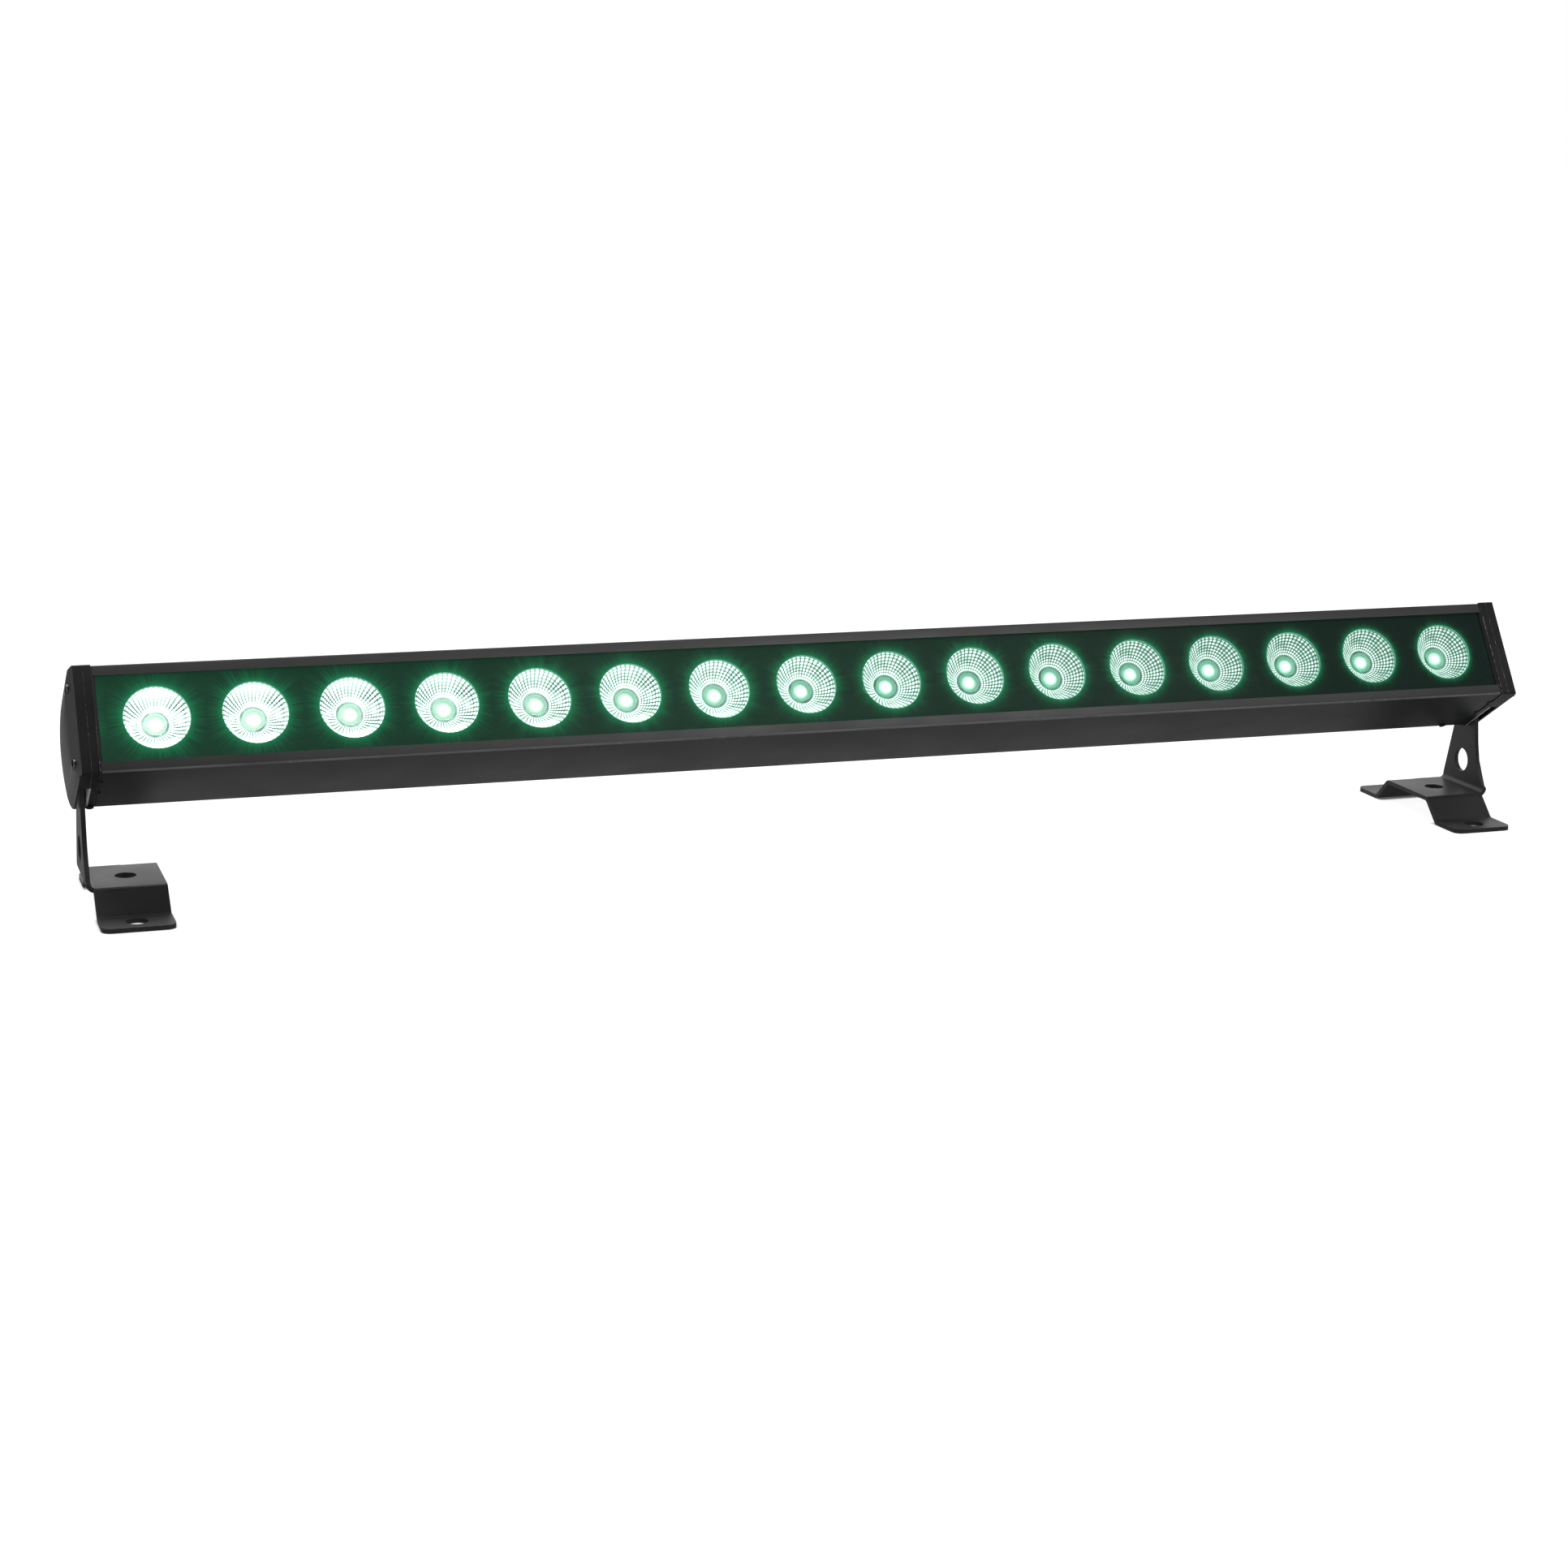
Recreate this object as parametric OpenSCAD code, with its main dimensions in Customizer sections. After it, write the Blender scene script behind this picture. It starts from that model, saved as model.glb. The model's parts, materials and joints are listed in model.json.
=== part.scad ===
// LED strip batten: a long box-section light with a row of round cells behind one window,
// tilted on two folded feet. X runs along the batten, Y points to its back, Z is up.
// The origin is on the floor, midway between the feet, straight below the tilt axis.

/* [Housing] */
// Number of light cells in the row
cells = 16; // [4:2:16]
// Spacing of the light cells
cell_pitch = 60; // [56:1:80]
// Height of the front face
face_h = 70; // [70:1:80]
// Depth of the housing from the front face to the fin tips
body_d = 65.5; // [65:0.5:80]
// Height of the front window
window_h = 56; // [52:1:58]
// Housing length beyond the outer cell pitch, at each end
end_margin = 6; // [4:1:12]
// Tilt of the housing at rest, from facing level
tilt = 33.5; // [0:0.5:90]

/* [Ends] */
// Thickness of the end seal
seal_t = 1; // [0.5:0.5:2]
// Thickness of the end flange
flange_t = 5; // [4:0.5:8]
// Thickness of the end cover at its front edge
cover_rim_t = 6; // [5:0.5:8]
// Full thickness of the end cover at its crown
cover_crown_t = 11.5; // [11.5:0.1:16]

/* [Brackets] */
// Height of the tilt axis above the floor
pivot_h = 104; // [98:1:140]
// Thickness of the bracket sheet
sheet_t = 3; // [2.5:0.5:3]
// Height of the foot's top plate above the floor
plate_h = 17.4; // [14:0.2:24]
// Length of the foot's top plate, front to back
plate_l = 55; // [50:1:70]
// Length of each toe
toe_l = 27; // [24:1:40]
// Width of the foot
foot_w = 45; // [40:1:60]
// Diameter of the mounting holes in the feet
bolt_hole_d = 13.5; // [9:0.5:14]
// Diameter of the hole in each bracket arm
arm_hole_d = 17; // [9:0.5:18]

/* [Cells] */
// Diameter of the apertures in the mask plate
aperture_d = 40.5; // [36:0.5:42]
// Diameter of the reflector at its mouth
mouth_d = 38.5; // [34:0.5:40]
// Diameter of the lens at the bottom of the reflector
lens_d = 16.6; // [12:0.2:18]

/* [Hidden] */
side_names = ["left", "right"];
function two_digits(i) = str(i < 10 ? "0" : "", i);
function reflector_name(i) = str("reflector_", two_digits(i));
function sided(base) = [for (s = side_names) str(base, "_", s)];
$fn = 64;

// Colours
paint_black = [0.2, 0.2, 0.21];
cover_black = [0.15, 0.15, 0.16];
sheet_black = [0.24, 0.25, 0.26];
mask_black = [0.05, 0.12, 0.09];
rubber_black = [0.08, 0.08, 0.08];
bare_steel = [0.6, 0.61, 0.62];

// Housing section: depths are measured back from the front face
edge_r = 1;
rear_r = 7;
lip_t = 0.8;
glass_t = 1.5;
mask_t = 2.2;
pocket_h = window_h + 6;
pocket_end = lip_t + glass_t + mask_t;
optic_h = 58;
web_y = 22;
web_t = 3;
rear_wall_y = body_d - 9;
rear_wall_t = 3;
fin_root_y = rear_wall_y + rear_wall_t;
cavity_h = face_h - 5;
fin_gap = 4;
fin_pitch = 7.5;
fin_count = 6;

// Screw bosses: depth and height of each
boss_r = 4.2;
boss_hole_r = 1.7;
boss_link_w = 6;
boss_root_z = face_h / 2 - 1;
front_boss = [11, 24.5];
back_boss = [rear_wall_y - 6, 27.5];
bosses = [front_boss, [front_boss[0], -front_boss[1]], back_boss, [back_boss[0], -back_boss[1]]];
cover_screws = [bosses[0], bosses[1], bosses[2]];

// Stations along the length, from the middle outwards
body_x = cells * cell_pitch / 2 + end_margin;
seal_x = body_x + seal_t;
flange_x = seal_x + flange_t;
rim_x = flange_x + cover_rim_t;
crown_x = flange_x + cover_crown_t;
liner_t = 1.2;
arm_gap = 0.15;
inner_washer_t = 0.65;
recess = 1;
liner_x = flange_x - recess;
arm_x = liner_x + liner_t + inner_washer_t + arm_gap;
slot_x = arm_x + sheet_t + 1.5;
head_t = 3.6;
head_gap = 0.4;
screw_seat_x = slot_x + 1.5;

// Tilt axis, as a depth in the housing at half its height
pivot_y = 38;
pivot_r = 4;
flange_proud = 0.6;

// Small clearances
seat_gap = 0.3;
cut = 1;

// ---------- shared helpers ----------

// Points on an arc
function arc(cx, cy, r, a0, a1, n = 8) =
    [for (i = [0 : n]) let (a = a0 + (a1 - a0) * i / n) [cx + r * cos(a), cy + r * sin(a)]];

// Places housing parts: children are drawn with the front face on y = 0 and mid height on z = 0
module in_housing()
    translate([0, 0, pivot_h]) rotate([-tilt, 0, 0]) translate([0, -pivot_y, 0]) children();

// Draws a right-hand part once more as its mirror image for the left side
module on_side(side)
    mirror([side == "left" ? 1 : 0, 0, 0]) children();

// Extrudes a drawing of (depth, height) along X
module along_x(x0, x1)
    translate([x0, 0, 0]) rotate([90, 0, 90]) linear_extrude(x1 - x0) children();

// Extrudes a drawing of (x, height) along Y
module along_y(y0, y1)
    translate([0, y1, 0]) rotate([90, 0, 0]) linear_extrude(y1 - y0) children();

// A round bar along X at a depth and height
module bar_x(x0, x1, at, r)
    translate([x0, at[0], at[1]]) rotate([0, 90, 0]) cylinder(r = r, h = x1 - x0);

// A round bar along Y
module bar_y(x, y0, y1, z, r)
    translate([x, y0, z]) rotate([-90, 0, 0]) cylinder(r = r, h = y1 - y0);

// A block given by its corners
module block(lo, hi)
    translate(lo) cube(hi - lo);

function cell_x(i) = (i - (cells + 1) / 2) * cell_pitch;

// ---------- housing ----------

// Outer outline of the housing section, grown outwards by an amount
module section_outline(grow)
    polygon(concat(
        arc(edge_r - grow, grow + face_h / 2 - edge_r, edge_r, 180, 90, 4),
        arc(body_d + grow - rear_r, grow + face_h / 2 - rear_r, rear_r, 90, 0, 8),
        arc(body_d + grow - rear_r, rear_r - grow - face_h / 2, rear_r, 0, -90, 8),
        arc(edge_r - grow, edge_r - grow - face_h / 2, edge_r, -90, -180, 4)
    ));

// A screw boss joined to the nearest wall
module boss(at) {
    translate(at) circle(r = boss_r);
    translate([at[0] - boss_link_w / 2, at[1] > 0 ? at[1] : -boss_root_z])
        square([boss_link_w, boss_root_z - abs(at[1])]);
}

module fin_grooves()
    for (k = [0 : fin_count])
        translate([fin_root_y, (k - fin_count / 2) * fin_pitch - fin_gap / 2])
            square([body_d, fin_gap]);

module section()
    difference() {
        section_outline(0);
        translate([-cut, -window_h / 2]) square([lip_t + 2 * cut, window_h]);
        translate([lip_t, -pocket_h / 2]) square([glass_t + mask_t, pocket_h]);
        difference() {
            translate([pocket_end - cut, -optic_h / 2]) square([web_y - pocket_end + cut, optic_h]);
            for (b = bosses) boss(b);
        }
        difference() {
            translate([web_y + web_t, -cavity_h / 2])
                square([rear_wall_y - web_y - web_t, cavity_h]);
            for (b = bosses) boss(b);
        }
        fin_grooves();
    }

// Screws under the rear lower edge: one in the left flange, one in the housing near its right end
flange_screw_x = -seal_x - flange_t / 2;
housing_screw_x = body_x - 15.4;
edge_screw_y = rear_wall_y + 1.5;
edge_screw_depth = 7;
edge_screw_r = 1.1;
edge_head_r = 2.4;
edge_head_t = 0.8;
module edge_screw_hole(x)
    translate([x, edge_screw_y, -face_h / 2 - cut]) cylinder(r = edge_screw_r + 0.1, h = edge_screw_depth + cut);

// Rear panel: its plate sits in a pocket cut through the fins
panel_x = 150;
panel_z = 22;
panel_t = 2;
panel_y = fin_root_y;
panel_face = panel_y + panel_t;
window_x = 136;
window_z = 17;
panel_corner = [144, 19];

module housing_extrusion()
    color(paint_black) in_housing() difference() {
        along_x(-body_x, body_x) section();
        for (b = bosses) bar_x(-body_x - cut, body_x + cut, b, boss_hole_r);
        block([-panel_x - cut, panel_y, -panel_z - cut], [panel_x + cut, body_d + cut, panel_z + cut]);
        block([-window_x, rear_wall_y - cut, -window_z], [window_x, panel_y + cut, window_z]);
        for (sx = [-1, 1], sz = [-1, 1])
            bar_y(sx * panel_corner[0], rear_wall_y - cut, panel_y + cut, sz * panel_corner[1], 1.4);
        edge_screw_hole(housing_screw_x);
    }

// ---------- window and optics ----------

glass_edge = 1;

module front_window()
    color([0.1, 0.25, 0.18, 0.4]) in_housing()
        block([glass_edge - body_x, lip_t, glass_edge - pocket_h / 2],
              [body_x - glass_edge, lip_t + glass_t, pocket_h / 2 - glass_edge]);

module window_seal()
    color(rubber_black) in_housing() difference() {
        block([-body_x, lip_t, -pocket_h / 2], [body_x, lip_t + glass_t, pocket_h / 2]);
        block([glass_edge - body_x, lip_t - cut, glass_edge - pocket_h / 2],
              [body_x - glass_edge, lip_t + glass_t + cut, pocket_h / 2 - glass_edge]);
    }

module mask_plate()
    color(mask_black) in_housing() difference() {
        block([-body_x, lip_t + glass_t, -pocket_h / 2], [body_x, pocket_end, pocket_h / 2]);
        for (i = [1 : cells])
            bar_y(cell_x(i), lip_t, pocket_end + cut, 0, aperture_d / 2);
    }

// Reflector: a cup of revolution that widens towards its mouth
board_y = 17.4;
board_t = 1.6;
cup_y = pocket_end;
cup_end = 15;
cup_wall = 0.8;
cup_throat_r = lens_d / 2 + 0.3;
cup_steps = 8;
function cup_r(t) = cup_throat_r + (mouth_d / 2 - cup_throat_r) * pow(t, 0.75);
function cup_depth(k) = (cup_end - cup_y) * k / cup_steps;
cup_inside = [for (k = [0 : cup_steps]) [cup_r(1 - k / cup_steps), cup_depth(k)]];
cup_outside = [for (k = [1 : cup_steps]) [cup_r(1 - k / cup_steps) + 2 * cup_wall, cup_depth(k)]];
function reversed(v) = [for (k = [len(v) - 1 : -1 : 0]) v[k]];

cup_rim_r = aperture_d / 2 + 1;
module reflector(i)
    color([0.85, 0.87, 0.87]) in_housing() translate([cell_x(i), cup_y, 0]) rotate([-90, 0, 0])
        rotate_extrude() polygon(concat(
            cup_inside,
            reversed(cup_outside),
            [[cup_rim_r, cup_wall], [cup_rim_r, 0]]
        ));

// Lens: a thick disc with a shallow dome towards the window
lens_front = 14.6;
lens_back = 16.8;
lens_rise = 2;
module lens_domes()
    color([0.9, 0.95, 0.92, 0.6]) in_housing() for (i = [1 : cells])
        translate([cell_x(i), 0, 0]) rotate([-90, 0, 0]) rotate_extrude() polygon(concat(
            [[0, lens_back], [lens_d / 2, lens_back], [lens_d / 2, lens_front]],
            [for (k = [1 : 8]) let (t = k / 8) [lens_d / 2 * (1 - t), lens_front - lens_rise * (1 - pow(1 - t, 2))]]
        ));

emitter_d = 10;
module led_emitters()
    color([0.95, 0.9, 0.5]) in_housing() for (i = [1 : cells])
        bar_y(cell_x(i), lens_back + 0.1, board_y, 0, emitter_d / 2);

boards = 4;
board_h = 36;
module led_board(k) {
    run = 2 * (body_x - end_margin) / boards;
    x0 = (k - 1) * run - run * boards / 2;
    color([0.92, 0.93, 0.9]) in_housing()
        block([x0 + seat_gap, board_y, -board_h / 2], [x0 + run - seat_gap, board_y + board_t, board_h / 2]);
}

module heat_spreader()
    color([0.7, 0.71, 0.72]) in_housing()
        block([-body_x + end_margin, board_y + board_t, -board_h / 2], [body_x - end_margin, web_y, board_h / 2]);

// ---------- electronics in the rear chamber ----------

chamber_y = web_y + web_t;
supply_x = [-body_x + 46, -200];
driver_x = [200, body_x - 46];

module power_supply()
    color([0.75, 0.76, 0.77]) in_housing() {
        block([supply_x[0], chamber_y, -22], [supply_x[1], chamber_y + 24, 22]);
        block([supply_x[0] + 10, chamber_y + 24, -16], [supply_x[0] + 60, chamber_y + 27, 16]);
    }

module driver_board()
    color([0.1, 0.35, 0.2]) in_housing() {
        block([driver_x[0], chamber_y, -20], [driver_x[1], chamber_y + board_t, 20]);
        for (k = [0 : 3]) bar_y(driver_x[0] + 30 + 55 * k, chamber_y, chamber_y + 14, 9, 6);
        for (k = [0 : 3])
            block([driver_x[0] + 20 + 55 * k, chamber_y, -16], [driver_x[0] + 42 + 55 * k, chamber_y + 10, -4]);
    }

// Buttons: a cap through the panel with a shoulder behind it
button_x = [-12, 4, 20, 36];
button_r = 3.3;
shoulder_r = 4.4;
button_out = 2;
button_travel = 1;
shoulder_y = panel_y - 1.6;
switch_y = shoulder_y - button_travel - 0.3;
control_y = 50;
control_x = [-72, 50];
control_z = 15;
display_x = [-64, -26];
display_z = 10;

module control_board()
    color([0.1, 0.3, 0.18]) in_housing() {
        block([control_x[0], control_y, -control_z], [control_x[1], control_y + board_t, control_z]);
        for (x = button_x) block([x - 3, control_y, -3], [x + 3, switch_y, 3]);
        block([display_x[0] + 2, control_y, -8], [display_x[1] - 2, panel_y - 1, 8]);
    }

harness_r = 2;
harness = [[chamber_y + 4, -12], [chamber_y + 4, -6]];
module wiring_harness()
    color([0.7, 0.1, 0.1]) in_housing()
        for (h = harness) bar_x(supply_x[1], driver_x[0], h, harness_r);

// ---------- rear panel ----------

power_x = [-118, -88];
data_x = [88, 118];
vent_x = 62;
barrel_r = 10.5;

module rear_panel()
    color([0.12, 0.12, 0.13]) in_housing() difference() {
        block([-panel_x, panel_y, -panel_z], [panel_x, panel_face, panel_z]);
        for (x = concat(power_x, data_x)) bar_y(x, panel_y - cut, panel_face + cut, 0, barrel_r);
        for (x = button_x) bar_y(x, panel_y - cut, panel_face + cut, 0, button_r + seat_gap);
        bar_y(vent_x, panel_y - cut, panel_face + cut, 0, 6);
        block([display_x[0], panel_y - cut, -display_z], [display_x[1], panel_face + cut, display_z]);
        for (sx = [-1, 1], sz = [-1, 1])
            bar_y(sx * panel_corner[0], panel_y - cut, panel_face + cut, sz * panel_corner[1], 1.7);
    }

module panel_screws()
    color(bare_steel) in_housing() for (sx = [-1, 1], sz = [-1, 1]) difference() {
        union() {
            bar_y(sx * panel_corner[0], rear_wall_y, panel_face, sz * panel_corner[1], 1.35);
            bar_y(sx * panel_corner[0], panel_face, panel_face + 1.8, sz * panel_corner[1], 2.8);
        }
        translate([sx * panel_corner[0], panel_face + 0.8, sz * panel_corner[1]])
            rotate([-90, 0, 0]) cylinder(r = 1.4, h = 2, $fn = 6);
    }

module display_window()
    color([0.05, 0.08, 0.1]) in_housing()
        block([display_x[0], panel_y, -display_z], [display_x[1], panel_face + 0.4, display_z]);

module breather_vent()
    color(rubber_black) in_housing() {
        bar_y(vent_x, panel_y - 4, panel_face, 0, 6);
        translate([vent_x, panel_face, 0]) rotate([-90, 0, 0]) cylinder(r = 8.5, h = 3, $fn = 6);
        bar_y(vent_x, panel_face + 3, panel_face + 4.2, 0, 6.5);
    }

// Socket: a barrel through the panel with a square flange, a round well and contact holes
socket_flange = 26;
socket_collar_r = 12;
socket_face = panel_face + 5;
well_depth = 9;
module socket(x, well_r, contacts, contact_ring_r)
    in_housing() difference() {
        union() {
            bar_y(x, control_y - 4, panel_face, 0, barrel_r);
            block([x - socket_flange / 2, panel_face, -socket_flange / 2],
                  [x + socket_flange / 2, panel_face + 2, socket_flange / 2]);
            bar_y(x, panel_face, socket_face, 0, socket_collar_r);
        }
        bar_y(x, socket_face - well_depth, socket_face + cut, 0, well_r);
        for (k = [1 : contacts]) let (a = 90 + 360 * k / contacts)
            bar_y(x + contact_ring_r * cos(a), socket_face - well_depth - 5,
                  socket_face - well_depth + cut, contact_ring_r * sin(a), 1.2);
    }

module menu_button(k)
    color([0.6, 0.6, 0.6]) in_housing() {
        bar_y(button_x[k - 1], shoulder_y, panel_face + button_out, 0, button_r);
        bar_y(button_x[k - 1], shoulder_y, shoulder_y + 1.2, 0, shoulder_r);
    }

// ---------- ends: drawn for the right-hand side ----------

// End seal: a flat ring between housing and flange, with two tabs under the lower edge
seal_rim = 2;
tab_y = [16.5, 34.5];
tab_w = 3;
tab_reach = 1.5;
tab_drop = 0.6;
module end_seal(side)
    color(rubber_black) in_housing() on_side(side) {
        difference() {
            along_x(body_x, seal_x) section_outline(0);
            along_x(body_x - cut, seal_x + cut) difference() {
                section_outline(-seal_rim);
                for (b = bosses) boss(b);
            }
            for (b = bosses) bar_x(body_x - cut, seal_x + cut, b, boss_hole_r);
        }
        for (y = tab_y) {
            block([body_x - tab_reach, y - tab_w / 2, -face_h / 2 - tab_drop], [seal_x, y + tab_w / 2, -face_h / 2]);
            block([body_x, y - tab_w / 2, -face_h / 2 - tab_drop], [seal_x, y + tab_w / 2, cut - face_h / 2]);
        }
    }

// End flange: closes the housing; the pivot bolt passes through it
flange_bore_r = pivot_r + 0.3;
screw_r = 2;
module end_flange(side)
    color(paint_black) in_housing() difference() {
        flange_shape(side);
        if (side == "left") edge_screw_hole(flange_screw_x);
    }
module flange_shape(side)
    on_side(side) difference() {
        along_x(seal_x, flange_x) section_outline(flange_proud);
        along_x(liner_x, flange_x + cut) slot_shape();
        for (b = bosses) bar_x(seal_x - cut, flange_x + cut, b, screw_r + 0.2);
        bar_x(liner_x - 2.2, flange_x + cut, bosses[3], 3.8);
        bar_x(seal_x - cut, flange_x + cut, [pivot_y, 0], flange_bore_r);
    }

// Room for the bracket arm between housing facing level and facing straight up
slot_front = 13;
slot_r = 14;
slot_rise = 0.11;
slot_reach = 50;
module slot_shape(grow = 0)
    translate([pivot_y, 0]) {
        circle(r = slot_r + grow);
        polygon([
            [-slot_front - grow, 0],
            [-slot_front - grow, -slot_reach],
            [slot_reach, -slot_reach],
            [slot_reach, slot_r + grow + slot_rise * slot_reach],
            [0, slot_r + grow]
        ]);
    }

// End cover: a barrel-shaped block with a front facet that slopes outwards from the rim
crown_r = 200;
facet_slope = 0.3;
bevel = [[-0.5, -22], [-4.5, -36]];
back_turn = 3;
module end_cover(side)
    color(cover_black) in_housing() on_side(side) difference() {
        intersection() {
            along_x(flange_x, crown_x + cut) section_outline(flange_proud);
            translate([0, 0, -face_h]) linear_extrude(2 * face_h) polygon([
                [flange_x, -flange_proud],
                [rim_x, -flange_proud],
                [crown_x, (crown_x - rim_x) / facet_slope],
                [crown_x, body_d - back_turn],
                [crown_x - back_turn, body_d + flange_proud],
                [flange_x, body_d + flange_proud]
            ]);
            translate([crown_x - crown_r, 0, 0]) rotate([-90, 0, 0])
                translate([0, 0, -face_h]) cylinder(r = crown_r, h = 3 * face_h, $fn = 240);
        }
        // Bevel along the lower outer edge
        along_y(6, body_d + 2 * cut) polygon([
            [crown_x + bevel[0][0], bevel[0][1]],
            [crown_x + bevel[1][0], bevel[1][1]],
            [crown_x + bevel[1][0], -face_h],
            [crown_x + face_h, -face_h],
            [crown_x + face_h, bevel[0][1]]
        ]);
        // Slot for the bracket arm, open downwards and to the back
        along_x(flange_x - cut, slot_x) slot_shape();
        bar_x(slot_x - cut, slot_x + head_t + head_gap, [pivot_y, 0], 7.5);
        for (b = cover_screws) bar_x(flange_x - cut, crown_x + cut, b, screw_r + 0.2);
        for (b = cover_screws) bar_x(screw_seat_x, crown_x + cut, b, 3.8);
    }

// Pan-head screw along X with a hexagon socket
module screw_x(seat, tip, at, r, head_r, head_t)
    difference() {
        union() {
            bar_x(tip, seat, at, r);
            bar_x(seat, seat + head_t, at, head_r);
        }
        translate([seat + head_t * 0.4, at[0], at[1]]) rotate([0, 90, 0])
            cylinder(r = head_r * 0.45, h = head_t, $fn = 6);
    }

screw_len = 14;
module end_screws()
    color(bare_steel) in_housing() for (side = side_names) on_side(side) {
        for (b = cover_screws) screw_x(screw_seat_x, body_x - screw_len, b, boss_hole_r - 0.1, 3.4, 2.4);
        screw_x(liner_x - 2.2, body_x - screw_len, bosses[3], boss_hole_r - 0.1, 3.4, 2);
    }

module edge_screws()
    color(bare_steel) in_housing() {
        edge_screw(flange_screw_x, flange_proud);
        edge_screw(housing_screw_x, 0);
    }
module edge_screw(x, proud)
    translate([x, edge_screw_y, -face_h / 2 - proud]) difference() {
        union() {
            cylinder(r = edge_screw_r, h = edge_screw_depth);
            translate([0, 0, -edge_head_t]) cylinder(r = edge_head_r, h = edge_head_t);
        }
        translate([0, 0, -edge_head_t - cut]) cylinder(r = 1, h = cut + 0.5, $fn = 6);
    }

// Slot liner: a pale nylon sheet on the flange inside the slot
module slot_liner(side)
    color([0.75, 0.75, 0.73]) in_housing() on_side(side) difference() {
        along_x(liner_x, liner_x + liner_t) intersection() {
            slot_shape(-0.2);
            section_outline(flange_proud);
        }
        bar_x(liner_x - cut, liner_x + liner_t + cut, [pivot_y, 0], flange_bore_r);
    }

washer_r = 11;
module friction_washers()
    color([0.8, 0.8, 0.78]) in_housing() for (side = side_names) on_side(side) difference() {
        union() {
            bar_x(liner_x + liner_t, arm_x - arm_gap, [pivot_y, 0], washer_r);
            bar_x(arm_x + sheet_t + arm_gap, slot_x, [pivot_y, 0], washer_r);
        }
        bar_x(liner_x, slot_x + cut, [pivot_y, 0], flange_bore_r);
    }

nut_t = 6.5;
module pivot_bolts()
    color(bare_steel) in_housing() for (side = side_names) on_side(side)
        screw_x(slot_x, seal_x - nut_t - 1, [pivot_y, 0], pivot_r, 6.5, head_t);

module pivot_nuts()
    color(bare_steel) in_housing() for (side = side_names) on_side(side) difference() {
        translate([seal_x - nut_t, pivot_y, 0]) rotate([0, 90, 0]) cylinder(r = 7.5, h = nut_t, $fn = 6);
        bar_x(seal_x - nut_t - cut, seal_x + cut, [pivot_y, 0], pivot_r + 0.05);
    }

// ---------- brackets: drawn for the right-hand side ----------

bend_in = 3;
bend_out = bend_in + sheet_t;
leg_drop = plate_h - sheet_t;
half_plate = plate_l / 2;
leg_foot = half_plate + leg_drop;
foot_end = leg_foot + toe_l;
foot_x1 = arm_x - 1.5;
foot_x0 = foot_x1 - foot_w;
hole_x = (foot_x0 + foot_x1) / 2;
toe_hole_y = leg_foot + toe_l / 2;
arm_hole = [4.3, plate_h + 18];
toe_corner_r = 6;
bend_turn = tan(22.5);

// Half of the foot's section, as the upper or lower face of the sheet (in = 1 or 0)
function half_section(upper) =
    let (rc = upper ? bend_in : bend_out, rp = upper ? bend_out : bend_in)
    concat(
        [[-foot_end, upper ? sheet_t : 0]],
        arc(-leg_foot - bend_in * bend_turn, sheet_t + bend_in, rc, -90, -45, 5),
        arc(-half_plate + bend_out * bend_turn, plate_h - bend_out, rp, 135, 90, 5)
    );
function mirrored(v) = [for (p = reversed(v)) [-p[0], p[1]]];

module foot_section()
    polygon(concat(
        half_section(true), mirrored(half_section(true)),
        reversed(mirrored(half_section(false))), reversed(half_section(false))
    ));

// Plan of the foot with rounded toe corners
module foot_plan()
    polygon(concat(
        arc(foot_x0 + toe_corner_r, toe_corner_r - foot_end, toe_corner_r, 180, 270),
        arc(foot_x1 - toe_corner_r, toe_corner_r - foot_end, toe_corner_r, 270, 360),
        arc(foot_x1 - toe_corner_r, foot_end - toe_corner_r, toe_corner_r, 0, 90),
        arc(foot_x0 + toe_corner_r, foot_end - toe_corner_r, toe_corner_r, 90, 180)
    ));

// Arm outline in (y, z): a round top at the tilt axis, widening down to the plate
arm_r = 12;
arm_foot = half_plate - 1;
module arm_shape()
    polygon(concat(
        arc(0, pivot_h, arm_r, 180, 0, 24),
        [[14.6, pivot_h - 37], [arm_foot, plate_h + bend_in + 1], [arm_foot, plate_h + bend_in]],
        [[-arm_foot, plate_h + bend_in], [-arm_foot + 2.5, plate_h + bend_in + 1.5]],
        [[-15, pivot_h - 65], [-12, pivot_h - 52], [-10, pivot_h - 38]]
    ));

// Quarter-round bend between plate and arm
module arm_bend()
    translate([arm_x - bend_in, 0, plate_h + bend_in]) intersection() {
        along_y(-arm_foot, arm_foot) difference() {
            circle(r = bend_out);
            circle(r = bend_in);
        }
        block([0, -arm_foot - cut, -bend_out - cut], [bend_out + cut, arm_foot + cut, 0]);
    }

module bracket(side)
    color(sheet_black) on_side(side) difference() {
        union() {
            intersection() {
                along_x(foot_x0, foot_x1) foot_section();
                linear_extrude(plate_h + cut) foot_plan();
            }
            block([hole_x, -arm_foot, plate_h - sheet_t], [arm_x - bend_in, arm_foot, plate_h]);
            arm_bend();
            along_x(arm_x, arm_x + sheet_t) arm_shape();
        }
        bar_x(arm_x - cut, arm_x + sheet_t + cut, [0, pivot_h], pivot_r + 0.05);
        bar_x(arm_x - cut, arm_x + sheet_t + cut, arm_hole, arm_hole_d / 2);
        translate([hole_x, 0, 0]) cylinder(d = bolt_hole_d, h = plate_h + cut);
        for (s = [-1, 1]) translate([hole_x, s * toe_hole_y, -cut]) cylinder(d = bolt_hole_d, h = sheet_t + 2 * cut);
    }

// ---------- what is drawn ----------

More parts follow.
